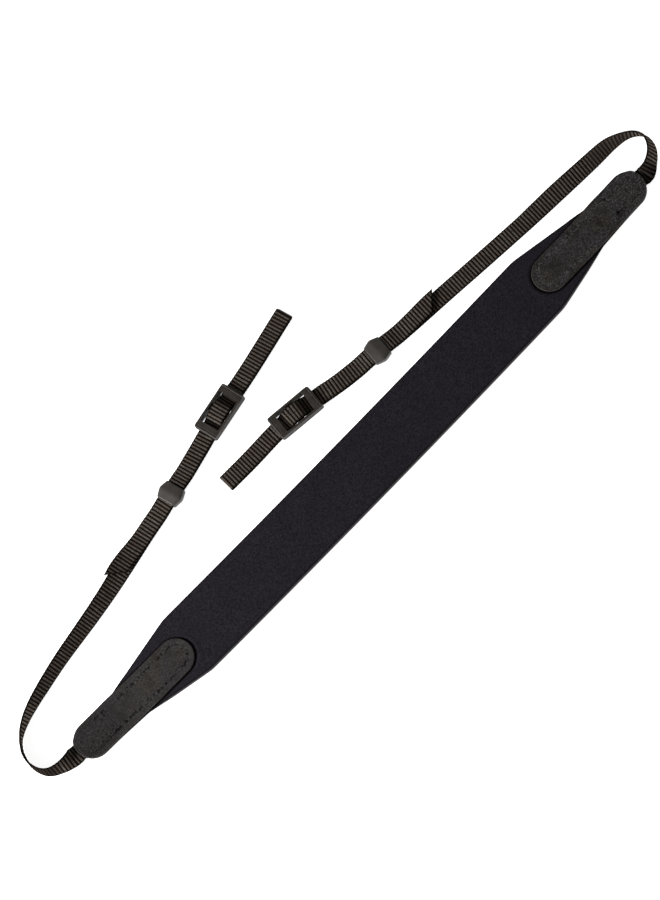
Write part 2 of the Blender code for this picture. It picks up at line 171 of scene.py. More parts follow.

# Keeper
KEEPER_LENGTH = 10.4
KEEPER_WALL = 0.8
KEEPER_END_WIDTH = 11.6
KEEPER_MID_WIDTH = 14.5
KEEPER_SLOT_WIDTH = WEB_WIDTH + 0.5
KEEPER_SLOT_HEIGHT = STACK + 2 * GAP
KEEPER_SLOT_INSET = 0.05
KEEPER_FLAT = KEEPER_LENGTH / 2 + 0.4  # half of the webbing's level stretch
KEEPER_RAMP = 9.0
KEEPER_LIP = 0.45  # how far in from its ends the sleeve is rounded
KEEPER_LIP_DEPTH = 0.28
KEEPER_SQUARENESS = (7.0, 4.2)  # of the outside's lower and upper half
KEEPER_SLOT_SQUARENESS = (10.0, 10.0)
KEEPER_END_ROOF = 0.5  # thickness over the slot at the ends
KEEPER_BULGE = 0.8  # and what is added to it in the middle

# Stitches
STITCH_INSET = 3.2
STITCH_PITCH = 2.9
STITCH_LENGTH = 2.1
THREAD = 0.24  # radius
THREAD_THINNED = 0.55  # its share at a stitch's ends
THREAD_TWIST = 9.0  # radians along a stitch
THREAD_DIP = 0.30  # how deep a stitch's ends lie in the front leaf
THREAD_RISE = 0.34  # and how far its middle stands above them
BACK_THREAD_DIP = 0.50
BACK_THREAD_RISE = 0.22
BOX_START = 191.5  # the sewn box over the webbing's end
BOX_END = 210.5
BOX_HALF = 4.3
SEAM_DEPTH = 0.17  # of the groove that the stitches pull into the leather
SEAM_WIDTH = 0.5

# Marks on the leather: painted glints, painted shade, darkening towards the outer end, and
# stains
PITTED_INSET = 3.9  # where painted shade of needle holes lies along the seam
PITTED_WIDTH = 1.1
HOLE = (BOX_START + 1.5, 5.5)  # x and y of the deep painted shade at the sewn box's inner corners
HOLE_RADIUS = 1.8
HOLE_STRENGTH = 2.5
DENTED_INSET = 3.5  # where the stitches have pressed dents into the leather, and painted glints lie
DENTED_WIDTH = 1.7
DENTED_BY_BOX = 0.75
DENTED_RUN = 5.0  # how far before the box that starts
# painted highlight along each leaf's rounded rim, as insets from the edge
RIM_HIGHLIGHT_INSETS = (0.05, 0.32)
DARKENING_RUN = 14.0  # how far before the box the leather starts to darken
# per tab: shares of painted glints, painted shade of needle holes, darkening towards the outer
# end, stains and specks, and painted glints on the thread
LeafMarks = namedtuple("LeafMarks", "tips pits handled coarse thread")
LEAF_MARKS = {"right": LeafMarks(1.0, 0.3, 0.3, 0.95, 1.0),
        "left": LeafMarks(0.3, 1.0, 0.72, 0.495, 0.15)}

# The webbing's routes, as in the CAD source
Row = namedtuple("Row", "x y lift roll", defaults=(0.0, 180))
RIGHT_ROUTE = [Row(*row) for row in (
    (215.4, 1.4, 1.6, 0), (217.0, 1.1, 1.0, 8), (218.8, 0.9, 0.4, 24),
    (220.9, 1.1, 0.2, 41), (223.2, 1.8, 0.2, 52), (225.3, 2.9, 0.2, 59),
    (227.4, 4.2, 0.2, 62), (229.6, 6.0, 0.2, 64), (231.7, 8.5, 0.2, 66),
    (233.4, 12.1, 0.2, 70), (233.8, 15.6, 0.2, 75), (232.7, 18.6, 0.2, 80),
    (230.2, 21.5, 0.2, 86), (226.3, 23.9, 0.2, 94), (221.8, 25.6, 0.2, 107),
    (217.1, 26.9, 0.2, 120), (212.8, 27.5, 0.2, 129), (207.4, 27.9, 0.2, 136),
    (200.7, 28.4, 0.1, 141), (192.0, 29.1, 0.0, 147), (180.5, 30.1, 0.0, 158),
    (164.0, 31.3, 0.0, 173), (152.6, 32.1), (126.0, 34.1),
    (98.6, 36.3), (71.5, 38.3), (43.8, 41.0),
    (23.2, 43.7), (9.0, 46.6), (-5.1, 49.1),
    (-20.0, 49.7), (-40.0, 49.3), (-57.8, 49.5),
)]
LEFT_ROUTE = [Row(*row) for row in (
    (-215.4, 2.3, 1.6, 0), (-217.0, 2.2, 1.0, 8), (-218.9, 2.1, 0.4, 24),
    (-221.2, 1.8, 0.2, 41), (-223.7, 1.8, 0.2, 53), (-226.3, 2.1, 0.2, 61),
    (-229.2, 2.9, 0.2, 69), (-231.6, 3.8, 0.2, 73), (-233.8, 5.1, 0.2, 76),
    (-235.9, 7.2, 0.2, 78), (-237.4, 9.8, 0.2, 80), (-238.5, 13.5, 0.2, 81),
    (-238.7, 17.3, 0.2, 82), (-238.0, 21.4, 0.2, 82), (-236.3, 25.5, 0.2, 79),
    (-233.6, 29.2, 0.2, 79), (-229.6, 32.6, 0.2, 85), (-223.8, 35.8, 0.2, 94),
    (-215.2, 39.0, 0.2, 104), (-204.6, 41.9, 0.1, 111), (-188.2, 45.7, 0.0, 117),
    (-173.5, 48.3, 0.0, 123), (-160.0, 50.7, 0.0, 130), (-147.4, 53.3, 0.0, 138),
    (-130.0, 57.8, 0.0, 160), (-111.0, 62.4, 0.0, 177), (-83.4, 67.9),
    (-56.0, 74.8), (-33.6, 80.9), (-11.0, 85.3),
    (30.1, 94.9),
)]
Strand = namedtuple("Strand", "name side route buckle aside askew keeper tail drift stand")
STRANDS = [
    Strand("right", 1, RIGHT_ROUTE, 52.8, 0.15, 0.0, 108.6, 150.2, 1.0, 1.0),
    Strand("left", -1, LEFT_ROUTE, 64.6, 0.05, -1.5, 116.6, 171.0, 2.2, 1.2),
]

# The photo's view: where the camera looks, and how it is turned
CAMERA_TARGET = (-6.6, 20.9, 0.0)
CAMERA_ELEVATION = math.radians(70)
CAMERA_SIDE = math.radians(8)
CAMERA_ROLL = math.radians(45.7)
CAMERA_DISTANCE = 1500.0
PHOTO_WIDTH = 660  # pixels
PIXELS_PER_MM = 1.855  # at the target
SENSOR = 36
FARTHEST = 10  # metres

# Light: a glowing white table, a surround, and a softbox (metres, watts)
TABLE_HALF = 3
TABLE_DROP = 0.05 * MM  # keeps it clear of the part's undersides
TABLE_GLOW = 0.85
HORIZON_BAND = (0.05, 0.6)
HORIZON_STRENGTH = 0.6
ZENITH_STRENGTH = 0.24
SOFTBOX_PLACE = (-1.28, 0.25, 0.76)
SOFTBOX_SIZE = 0.5
SOFTBOX_WATTS = 38.0

# Colours: linear red, green and blue, and alpha
WHITE = (1, 1, 1, 1)
TABLE_WHITE = (0.9, 0.9, 0.9, 1)
KNIT_DARK = (0.0038, 0.0032, 0.0046, 1)
KNIT_PALE = (0.0252, 0.0216, 0.0285, 1)
KNIT_PATCH = (0.0084, 0.0073, 0.0106, 1)
KNIT_RIM = (0.004, 0.0035, 0.0045, 1)
# painted shade on the knit just outside the leather tabs
KNIT_SHADE_BY_LEATHER = (0.001, 0.0009, 0.0011, 1)
FOAM_DARK = (0.01, 0.009, 0.011, 1)
FOAM_PALE = (0.07, 0.063, 0.064, 1)
LEATHER_DARK = (0.029, 0.025, 0.0212, 1)
LEATHER_PALE = (0.04, 0.0364, 0.0326, 1)
LEATHER_PATCH = (0.0325, 0.03, 0.0304, 1)
LEATHER_STAIN = (0.0165, 0.0118, 0.0122, 1)
# painted shade in the creases between the grain's pebbles
LEATHER_CREASE_SHADE = (0.006, 0.0052, 0.0046, 1)
LEATHER_DARKER_OUTWARD = (0.014, 0.0122, 0.0125, 1)
# painted glints: pale bluish specks along the seam and by the sewn box
LEATHER_GLINT = (0.086, 0.082, 0.088, 1)
# painted highlight along the leaves' rounded rim
LEATHER_RIM_HIGHLIGHT = (0.06, 0.056, 0.053, 1)
# painted shade in needle holes and at the sewn box's inner corners
LEATHER_HOLE_SHADE = (0.0016, 0.0013, 0.0011, 1)
RIB_BROWN = (0.112, 0.095, 0.08, 1)
RIB_PALE = (0.182, 0.164, 0.142, 1)
RIB_STREAK = (0.048, 0.036, 0.029, 1)
RIB_REDDISH = (0.093, 0.068, 0.058, 1)
# painted shade in the fine grooves between yarns
SHADE_BETWEEN_YARNS = (0.018, 0.0135, 0.011, 1)
RIB_GRAIN = (0.015, 0.011, 0.009, 1)
# painted shade in the grooves between ribs
SHADE_BETWEEN_RIBS = (0.0048, 0.0035, 0.0027, 1)
SELVEDGE_TONE = (0.004, 0.003, 0.0024, 1)
LIGHTENING = (1.7, 1.7, 1.7, 1)  # multiplies the tone along a lighter stretch of each loop
# painted shade, brownish and dim, on the right loop's bend
RIB_DIM_SHADE = (0.034, 0.0255, 0.022, 1)
# painted shade, deep, on the left loop's bend and under each buckle's +X bar
RIB_DEEP_SHADE = (0.0075, 0.0055, 0.0044, 1)
# the tail's dark sealed cut, and the painted shadow of a leaf on the webbing
WEBBING_SEALED_AND_SHADOW = (0.0025, 0.002, 0.0018, 1)
PLASTIC_DARK = (0.0235, 0.019, 0.0155, 1)
PLASTIC_PALE = (0.034, 0.0285, 0.024, 1)
PLASTIC_PORE = (0.009, 0.0072, 0.0058, 1)
PLASTIC_SCUFF = (0.07, 0.064, 0.059, 1)
# painted sheen, laid over the satin pieces
PLASTIC_PAINTED_SHEEN = (0.12, 0.113, 0.105, 1)
# painted shade of a groove round the buckle's sides
PLASTIC_GROOVE_SHADE = (0.005, 0.0042, 0.0036, 1)
THREAD_DARK = (0.004, 0.0036, 0.0033, 1)
# painted glints on the stitches
THREAD_GLINT = (0.062, 0.062, 0.07, 1)
# painted shade in the grooves of the thread's twist
THREAD_GROOVE_SHADE = (0.003, 0.0026, 0.0023, 1)


# Numbers

def smoothstep(value, start, end):
    """0 before start, 1 after end, and a smooth rise between them."""
    t = np.clip((np.asarray(value, float) - start) / (end - start), 0.0, 1.0)
    return t * t * (3.0 - 2.0 * t)


def plateau(value, half_flat, ramp):
    """1 within half_flat of zero, falling smoothly to 0 over the ramp beyond."""
    return 1.0 - smoothstep(np.abs(value), half_flat, half_flat + ramp)


def bell(value, width):
    """1 at zero, falling off evenly on both sides."""
    return np.exp(-(value / width) ** 2)


def rounded_edge(inset, radius):
    """How far a rounded edge has fallen away, at an inset from it."""
    into = radius - np.minimum(inset, radius)
    return radius - np.sqrt(np.maximum(0.0, radius ** 2 - into ** 2))


def unit(rows):
    """Each row as a vector of length 1."""
    return rows / np.linalg.norm(rows, axis=1)[:, None]


def walk(points):
    """The distance along a line of points at each of them."""
    return np.concatenate([[0], np.cumsum(np.linalg.norm(np.diff(points, axis=0), axis=1))])


def read_at(fine, at, table):
    """The table's columns, given at some distances, read at others."""
    return np.stack([np.interp(fine, at, column) for column in table.T], axis=-1)


def bow(x):
    """How far the pad and its tabs lie towards +Y at x."""
    return BOW * (x / TAB_OUTER) ** 2


def tab_line(x):
    """The tabs' centre line in plan, at x from the pad's centre."""
    return bow(x) - TAB_ASIDE * (1.0 - smoothstep(x, TAB_ASIDE_UNTIL, TAB_CENTRED))


def off_the_tab(x, y):
    """Distance outside a tab's outline, negative inside it."""
    foot = np.clip(np.abs(x), TAB_INNER + TAB_RADIUS, TAB_OUTER - TAB_RADIUS)
    return np.hypot(np.abs(x) - foot, y - tab_line(np.abs(x))) - TAB_RADIUS


# Meshes

def ring_faces(rows, cols, capped=True, joined=False):
    """Quads that skin a stack of closed rings, with end caps, or joined end to end."""
    r, c = np.meshgrid(np.arange(rows if joined else rows - 1), np.arange(cols), indexing="ij")
    after = (c + 1) % cols
    above = (r + 1) % rows
    quads = [r * cols + c, r * cols + after, above * cols + after, above * cols + c]
    faces = np.stack(quads, axis=-1).reshape(-1, 4).tolist()
    if capped and not joined:
        faces.append(list(range(cols)))
        faces.append(list(range((rows - 1) * cols, rows * cols)))
    return faces


def new_object(name, data):
    """An object of the scene that holds the data."""
    obj = bpy.data.objects.new(name, data)
    bpy.context.scene.collection.objects.link(obj)
    return obj


def make_mesh(name, points, faces, mat, facts=None):
    """A mesh from points in millimetres, welded and facing out, with its facts per point."""
    mesh = bpy.data.meshes.new(name)
    mesh.from_pydata((np.reshape(points, (-1, 3)) * MM).tolist(), [], faces)
    for label, values in (facts or {}).items():
        layer = mesh.attributes.new(label, "FLOAT", "POINT")
        layer.data.foreach_set("value", np.asarray(values, np.float32).ravel())
    bm = bmesh.new()
    bm.from_mesh(mesh)
    bmesh.ops.remove_doubles(bm, verts=bm.verts, dist=WELD * MM)
    bmesh.ops.recalc_face_normals(bm, faces=bm.faces)
    if bm.calc_volume(signed=True) < 0:
        bmesh.ops.reverse_faces(bm, faces=bm.faces)
    bm.to_mesh(mesh)
    bm.free()
    mesh.shade_smooth()
    mesh.materials.append(mat)
    return new_object(name, mesh)


def enlist(obj, slot, *stands_for):
    """Makes the object a piece of the part, on its one body."""
    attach(obj, "root")
    if stands_for:
        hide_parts(*stands_for)


# Nodes

def add(tree, kind, inputs=None, **settings):
    """Adds a node. An input is a number, a colour, or another node's output socket."""
    node = tree.nodes.new("ShaderNode" + kind)
    for name, value in settings.items():
        setattr(node, name, value)
    for key, value in (inputs or {}).items():
        if isinstance(value, bpy.types.NodeSocket):
            tree.links.new(value, node.inputs[key])
        else:
            node.inputs[key].default_value = value
    return node


def calc(tree, operation, first, second=0.0, third=0.0):
    """One step of arithmetic on numbers or sockets."""
    inputs = {0: first, 1: second, 2: third}
    return add(tree, "Math", inputs, operation=operation).outputs[0]


def scaled(tree, value, low, high, to_low=0.0, to_high=1.0, kind="LINEAR"):
    """The value's range from low to high mapped to another, and held at its ends."""
    inputs = {"Value": value, "From Min": low, "From Max": high,
              "To Min": to_low, "To Max": to_high}
    return add(tree, "MapRange", inputs, interpolation_type=kind).outputs["Result"]


def eased(tree, value, low, high, to_low=0.0, to_high=1.0):
    """As scaled, with a smooth start and end."""
    return scaled(tree, value, low, high, to_low, to_high, "SMOOTHSTEP")


def blend(tree, share, first, second, mode="MIX"):
    """The first colour with a share of the second over it."""
    node = add(tree, "Mix", {0: share, 6: first, 7: second},
               data_type="RGBA", blend_type=mode)
    return node.outputs[2]


def layered(tree, tone, *layers):
    """The colour with each of the (share, colour) pairs laid over it in turn."""
    for share, colour in layers:
        tone = blend(tree, share, tone, colour)
    return tone


def fact(tree, name):
    """A fact that the mesh holds for each of its points."""
    return add(tree, "Attribute", attribute_name=name).outputs["Fac"]


def place(tree):
    """The object's own coordinates, in metres."""
    return add(tree, "TexCoord").outputs["Object"]


def noise(tree, where, size, detail=2.0, roughness=0.5):
    """Noise between about 0.3 and 0.7, with features of the given size in millimetres."""
    inputs = {"Vector": where, "Scale": 1.0 / (size * MM), "Detail": detail,
              "Roughness": roughness}
    return add(tree, "TexNoise", inputs).outputs["Fac"]


def bump(tree, height, depth, normal=None):
    """A bump of the given depth in millimetres, on top of another if one is given."""
    inputs = {"Height": height, "Distance": depth * MM, "Strength": 1.0}
    if normal is not None:
        inputs["Normal"] = normal
    return add(tree, "Bump", inputs).outputs["Normal"]


def new_material(name, **uniform):
    """A material and its nodes, with the shader's uniform values given by name."""
    mat = bpy.data.materials.new(name)
    mat.use_nodes = True
    shader = mat.node_tree.nodes["Principled BSDF"]
    for key, value in uniform.items():
        shader.inputs[key.replace("_", " ")].default_value = value
    return mat, mat.node_tree


def finish(mat, tone, normal, roughness=None):
    """The material with its colour, its normal and, where it varies, its roughness."""
    shader = mat.node_tree.nodes["Principled BSDF"]
    for key, socket in (("Base Color", tone), ("Normal", normal), ("Roughness", roughness)):
        if socket is not None:
            mat.node_tree.links.new(socket, shader.inputs[key])
    return mat


def off_the_leather(tree, axes):
    """Distance in metres outside a tab's outline, from the object's coordinates."""
    x = calc(tree, "ABSOLUTE", axes["X"])
    nearest = calc(tree, "MAXIMUM", x, (TAB_INNER + TAB_RADIUS) * MM)
    foot = calc(tree, "MINIMUM", nearest, (TAB_OUTER - TAB_RADIUS) * MM)
    aside = eased(tree, x, TAB_ASIDE_UNTIL * MM, TAB_CENTRED * MM, -TAB_ASIDE * MM, 0.0)
    bowed = calc(tree, "MULTIPLY", calc(tree, "MULTIPLY", x, x), BOW / (TAB_OUTER ** 2 * MM))
    line = calc(tree, "ADD", aside, bowed)
    offset = {"X": calc(tree, "SUBTRACT", x, foot), "Y": calc(tree, "SUBTRACT", axes["Y"], line)}
    offset = add(tree, "CombineXYZ", offset).outputs[0]
    reach = add(tree, "VectorMath", {0: offset}, operation="LENGTH").outputs["Value"]
    return calc(tree, "SUBTRACT", reach, TAB_RADIUS * MM)


def knit_material():
    """Smooth jersey over foam: near black with a trace of violet, and its fine stitch."""
    mat, tree = new_material("knit", Roughness=0.8, Specular_IOR_Level=0.05,
                             Sheen_Weight=0.03, Sheen_Roughness=0.4)
    where = place(tree)
    axes = add(tree, "SeparateXYZ", {"Vector": where}).outputs
    wale = calc(tree, "PINGPONG", axes["Y"], KNIT_WALE * MM)
    slanted = calc(tree, "MULTIPLY_ADD", wale, 0.9, axes["X"])
    turns = calc(tree, "MULTIPLY", slanted, 2 * math.pi / (KNIT_COURSE * MM))
    loop = calc(tree, "SINE", turns)
    rib = scaled(tree, wale, 0.0, KNIT_WALE * MM)
    height = calc(tree, "MULTIPLY_ADD", loop, 0.25, rib)
    fuzz = noise(tree, where, 0.75, 2.0, 0.6)
    patches = noise(tree, where, 14.0, 3.0)
    grain = calc(tree, "MULTIPLY_ADD", height, 0.12, fuzz)
    tone = blend(tree, scaled(tree, grain, 0.36, 0.78), KNIT_DARK, KNIT_PALE)
    foam = blend(tree, noise(tree, where, 0.5, 2.0), FOAM_DARK, FOAM_PALE)
    # painted shade on the knit just outside each leather tab
    squeezed = eased(tree, off_the_leather(tree, axes), 0.6 * MM, 1.5 * MM, 0.95, 0.0)
    tone = layered(
        tree, tone,
        (scaled(tree, patches, 0.35, 0.65, 0.0, 0.3), KNIT_PATCH),
        (fact(tree, "cut"), foam),
        (fact(tree, "pressed"), KNIT_RIM),
        (squeezed, KNIT_SHADE_BY_LEATHER))
    return finish(mat, tone, bump(tree, height, 0.04, bump(tree, fuzz, 0.06)))


def leather_material():
    """Matte grey leather: pebbled grain, painted glints, painted shade in creases and pores, a
    painted rim highlight.
    """
    mat, tree = new_material("leather", Specular_IOR_Level=0.07)
    where = place(tree)
    swirl = add(tree, "TexNoise", {"Vector": where, "Scale": 900.0})
    bent = add(tree, "Mix", {0: 0.0006, 4: where, 5: swirl.outputs["Color"]},
               data_type="VECTOR").outputs[1]
    cells = add(tree, "TexVoronoi", {"Vector": bent, "Scale": 1.0 / (PEBBLE * MM)},
                feature="DISTANCE_TO_EDGE").outputs["Distance"]
    pebble = scaled(tree, cells, 0.0, 0.16)
    clouds = noise(tree, where, 6.0, 3.0)
    patches = noise(tree, where, 13.0, 2.0)
    stains = noise(tree, where, 8.0, 4.0, 0.65)
    specks = noise(tree, where, 0.8, 2.0, 0.7)
    tips = noise(tree, where, 0.85, 1.0)
    holes = noise(tree, where, 1.5, 0.0)
    tone = blend(tree, scaled(tree, clouds, 0.35, 0.65), LEATHER_DARK, LEATHER_PALE)
    tone = blend(tree, scaled(tree, patches, 0.42, 0.60), tone, LEATHER_PATCH)
    stained = calc(tree, "MULTIPLY", scaled(tree, stains, 0.50, 0.62, 0.0, 0.75),
                   fact(tree, "coarse"))
    tone = blend(tree, stained, tone, LEATHER_STAIN)
    tone = blend(tree, fact(tree, "coarse"), tone,
                 scaled(tree, specks, 0.36, 0.64, 0.28, 1.80), "MULTIPLY")
    # painted glints on the grain along the seam and by the sewn box
    glint = calc(tree, "MULTIPLY", scaled(tree, tips, 0.52, 0.64), fact(tree, "glint_band"))
    # painted highlight along the rounded rim
    rim = calc(tree, "MULTIPLY", fact(tree, "rim"), scaled(tree, clouds, 0.3, 0.7, 0.4, 0.9))
    # painted shade in needle holes and at the sewn box's inner corners
    pits = calc(tree, "MULTIPLY", scaled(tree, holes, 0.46, 0.41), fact(tree, "hole_shading"))
    tone = layered(
        tree, tone,
        # painted shade in the creases between the pebbles
        (scaled(tree, pebble, 0.0, 1.0, 0.55, 0.0), LEATHER_CREASE_SHADE),
        (fact(tree, "handled"), LEATHER_DARKER_OUTWARD),
        (calc(tree, "MULTIPLY", glint, 0.9), LEATHER_GLINT),
        (rim, LEATHER_RIM_HIGHLIGHT),
        (pits, LEATHER_HOLE_SHADE))
    grained = bump(tree, pebble, 0.08, bump(tree, clouds, 0.3))
    return finish(mat, tone, bump(tree, specks, 0.12, grained),
                  scaled(tree, specks, 0.3, 0.7, 0.62, 0.82))


def webbing_material():
    """Ribbed nylon: each rib is a row of warp floats, pale on its crest, with painted shade
    between.
    """
    mat, tree = new_material("webbing", Roughness=0.65, Specular_IOR_Level=0.0)
    along, across = fact(tree, "along"), fact(tree, "across")
    crest, edge = fact(tree, "crest"), fact(tree, "edge")
    ribs = calc(tree, "FLOOR", calc(tree, "DIVIDE", along, RIB_PITCH))
    by_rib = add(tree, "TexWhiteNoise", {"W": ribs}, noise_dimensions="1D").outputs
    slant = calc(tree, "MULTIPLY_ADD", along, YARN_SLANT, across)
    yarn = scaled(tree, calc(tree, "PINGPONG", slant, YARN), 0.0, YARN)
    at = add(tree, "CombineXYZ", {"X": along, "Y": across}).outputs[0]
    streaks, grain, tint = [
        add(tree, "TexNoise",
            {"Vector": at, "Scale": scale, "Detail": detail}).outputs["Fac"]
        for scale, detail in ((1.1, 3.0), (2.6, 1.0), (0.16, 2.0))]
    pale = blend(tree, by_rib["Value"], RIB_BROWN, RIB_PALE)
    pale = layered(
        tree, pale,
        (scaled(tree, streaks, 0.42, 0.60, 0.0, 0.8), RIB_STREAK),
        (scaled(tree, tint, 0.40, 0.62, 0.0, 0.6), RIB_REDDISH),
        # painted shade between the yarns
        (scaled(tree, yarn, 0.0, 1.0, 0.45, 0.0), SHADE_BETWEEN_YARNS),
        (scaled(tree, grain, 0.46, 0.34, 0.0, 0.8), RIB_GRAIN))
    # painted shade in the grooves between ribs, which the mesh also has
    tone = blend(tree, scaled(tree, crest, 0.56, 0.90), SHADE_BETWEEN_RIBS, pale)
    tone = blend(tree, calc(tree, "MULTIPLY", edge, 0.85), tone, SELVEDGE_TONE)
    # a stretch of each loop made lighter
    tone = blend(tree, fact(tree, "faded"), tone, LIGHTENING, "MULTIPLY")
    tone = layered(
        tree, tone,
        # painted shade on the loops' bends and under the buckles' +X end bars
        (fact(tree, "flattened"), RIB_DIM_SHADE),
        (fact(tree, "dulled"), RIB_DEEP_SHADE),
        # the tail's dark sealed cut, and the painted shadow of a leaf past its tab
        (fact(tree, "sealed_and_tab_shadow"), WEBBING_SEALED_AND_SHADOW))
    return finish(mat, tone, bump(tree, yarn, 0.08, bump(tree, streaks, 0.05)))


def plastic_material(name, polish):
    """Moulded plastic, finely matte, with scuffs that catch the light.

    polish is 0 for a matte piece and 1 for a satin one.
    """
    mat, tree = new_material(name, Specular_IOR_Level=0.20 + 0.15 * polish)
    where = place(tree)
    matte = noise(tree, where, 0.45, 2.0, 0.7)
    clouds = noise(tree, where, 4.0, 3.0)
    stretched = add(tree, "Mapping", {"Vector": where, "Scale": (1.0, 7.0, 1.0)})
    scuffs = noise(tree, stretched.outputs[0], 3.2, 4.0, 0.75)
    tone = blend(tree, scaled(tree, clouds, 0.35, 0.65), PLASTIC_DARK, PLASTIC_PALE)
    height = add(tree, "SeparateXYZ", {"Vector": where}).outputs["Z"]
    # painted shade of a groove round the buckle's sides, none on satin pieces
    from_groove_shade = calc(tree, "ABSOLUTE", calc(tree, "SUBTRACT", height, GROOVE_SHADE_HEIGHT * MM))
    seam = eased(tree, from_groove_shade, 0.15 * MM, 0.45 * MM, 0.8 * (1.0 - polish), 0.0)
    tone = layered(
        tree, tone,
        (scaled(tree, matte, 0.35, 0.65, 0.35, 0.0), PLASTIC_PORE),
        (scaled(tree, scuffs, 0.62, 0.78, 0.0, 0.6), PLASTIC_SCUFF),
        # painted sheen over a satin piece
        (0.12 * polish, PLASTIC_PAINTED_SHEEN),
        (seam, PLASTIC_GROOVE_SHADE))
    smooth = 0.48 - 0.05 * polish
    return finish(mat, tone, bump(tree, matte, 0.03),
                  scaled(tree, clouds, 0.3, 0.7, smooth, smooth + 0.1))


def thread_material():
    """Waxed bonded thread, with the slant of its twist, painted glints and painted shade in its
    grooves.
    """
    mat, tree = new_material("thread", Roughness=0.5, Specular_IOR_Level=0.2)
    where = place(tree)
    twist = calc(tree, "SINE", fact(tree, "twist"))
    # painted glints on the stitches, strongest on the right tab
    pale = calc(tree, "MULTIPLY", fact(tree, "glint"),
                scaled(tree, noise(tree, where, 1.3, 1.0), 0.42, 0.62))
    tone = blend(tree, pale, THREAD_DARK, THREAD_GLINT)
    # painted shade in the grooves of the twist
    tone = blend(tree, scaled(tree, twist, -1.0, 0.2, 0.5, 0.0), tone, THREAD_GROOVE_SHADE)
    return finish(mat, tone, bump(tree, twist, 0.05))


# Neck pad

def pad_half_width(x):
    """Even to the shoulder, then tapered straight to the end, with an eased corner."""
    ease = PAD_SHOULDER_EASE
    past = np.abs(x) - PAD_SHOULDER
    run = PAD_END - PAD_SHOULDER
    taper = (past + np.hypot(past, ease)) / (run + math.hypot(run, ease))
    return (PAD_WIDTH + (PAD_END_WIDTH - PAD_WIDTH) * np.clip(taper, 0.0, 1.0)) / 2


def pad_thickness(x):
    """Full in the middle, squeezed as the leaves take hold, then skived to the end."""
    squeezed = smoothstep(np.abs(x), PAD_LIFT_START, PAD_LIFT_END)
    skived = np.clip((np.abs(x) - PAD_LIFT_END) / (PAD_END - PAD_LIFT_END), 0.0, 1.0)
    return (PAD_THICK - (PAD_THICK - PAD_HELD_THICK) * squeezed
            - (PAD_HELD_THICK - PAD_END_THICK) * skived)


def make_pad(mat):
    """The pad lies flat, thins where the leaves squeeze it, and swells beside them."""
    inner = np.arange(0.0, PAD_FINE_FROM, PAD_STEP)
    outer = np.arange(PAD_FINE_FROM, PAD_END + 0.1, PAD_FINE_STEP)
    half_run = np.concatenate([inner, outer, [PAD_END]])
    xs = np.concatenate([-half_run[:0:-1], half_run])
    insets = np.array([0.0, 0.05, 0.18, 0.4, PAD_EDGE, 1.2])
    shares = np.linspace(0.0, 1.0, 25)[1:-1]
    rows, cut, pressed = [], [], []
    for x in xs:
        half = pad_half_width(x)
        inside = (half - insets[-1]) * (1.0 - 2.0 * shares)
        ys = np.concatenate([half - insets, inside, -(half - insets)[::-1]])
        inset = half - np.abs(ys)
        corner = rounded_edge(inset, PAD_EDGE)
        away = off_the_tab(x, ys + bow(x))
        squeezed = 1.0 - smoothstep(away, *PAD_SQUEEZE)
        skived = max(0.0, abs(x) - PAD_LIFT_END) / (PAD_END - PAD_LIFT_END)
        held = PAD_HELD_THICK - (PAD_HELD_THICK - PAD_END_THICK) * skived
        free = PAD_THICK - PAD_SKIVE * skived
        thick = free - (free - held) * squeezed
        low = (LEATHER + GAP) * (1.0 - smoothstep(away, *PAD_SETTLE))
        section = np.stack([np.full_like(ys, x), ys + bow(x)], axis=1)
        upper = np.column_stack([section, low + thick - corner])
        lower = np.column_stack([section, low + PAD_UNDER_EDGE * corner])
        rows.append(np.concatenate([upper, lower[::-1]]))
        at_cut = smoothstep(PAD_CUT - inset, 0.0, 0.12)
        cut.append(np.concatenate([at_cut, at_cut[::-1]]))
        at_press = bell(inset - PAD_RIM_LINE, 0.3)
        pressed.append(np.concatenate([at_press, 0.0 * at_press]))
    faces = ring_faces(len(rows), len(rows[0]))
    pad = make_mesh("pad_knit", rows, faces, mat, {"cut": cut, "pressed": pressed})
    enlist(pad, "neoprene", "pad")


# Leather leaves

def under_back(x, y):
    """The back leaf's underside, flat on the table all over."""
    return np.zeros_like(x + y)


def under_front(x, y):
    """The front leaf's underside: over the pad, then down over the webbing."""
    over_pad = LEATHER + GAP + pad_thickness(x) + GAP
    over_webbing = LEATHER + GAP + WEB_THICK + GAP
    over_leather = LEATHER + GAP
    past_pad = smoothstep(x, PAD_END + 0.6, WEB_START - 0.4)
    middle = over_pad + (over_webbing - over_pad) * past_pad
    settled = smoothstep(x, PAD_END + 0.6, LEAF_SETTLED)
    edge = over_pad + (over_leather - over_pad) * settled
    return middle + (edge - middle) * smoothstep(np.abs(y), LEAF_RAISED, LEAF_DOWN)


def tab_outline():
    """Once round a tab: each point's foot on the centre line, and the way out from it."""
    turn = np.radians(np.arange(-90.0, 90.0, 6.0))
    run = np.linspace(TAB_OUTER - TAB_RADIUS, TAB_INNER + TAB_RADIUS, 90)
    outer = np.stack([np.full_like(turn, run[0]), np.cos(turn), np.sin(turn)], axis=1)
    far_side = np.stack([run[:-1], 0 * run[:-1], 0 * run[:-1] + 1.0], axis=1)
    inner = np.stack([np.full_like(turn, run[-1]), -np.cos(turn), -np.sin(turn)], axis=1)
    near_side = np.stack([run[:0:-1], 0 * run[1:], 0 * run[1:] - 1.0], axis=1)
    return np.concatenate([outer, far_side, inner, near_side])


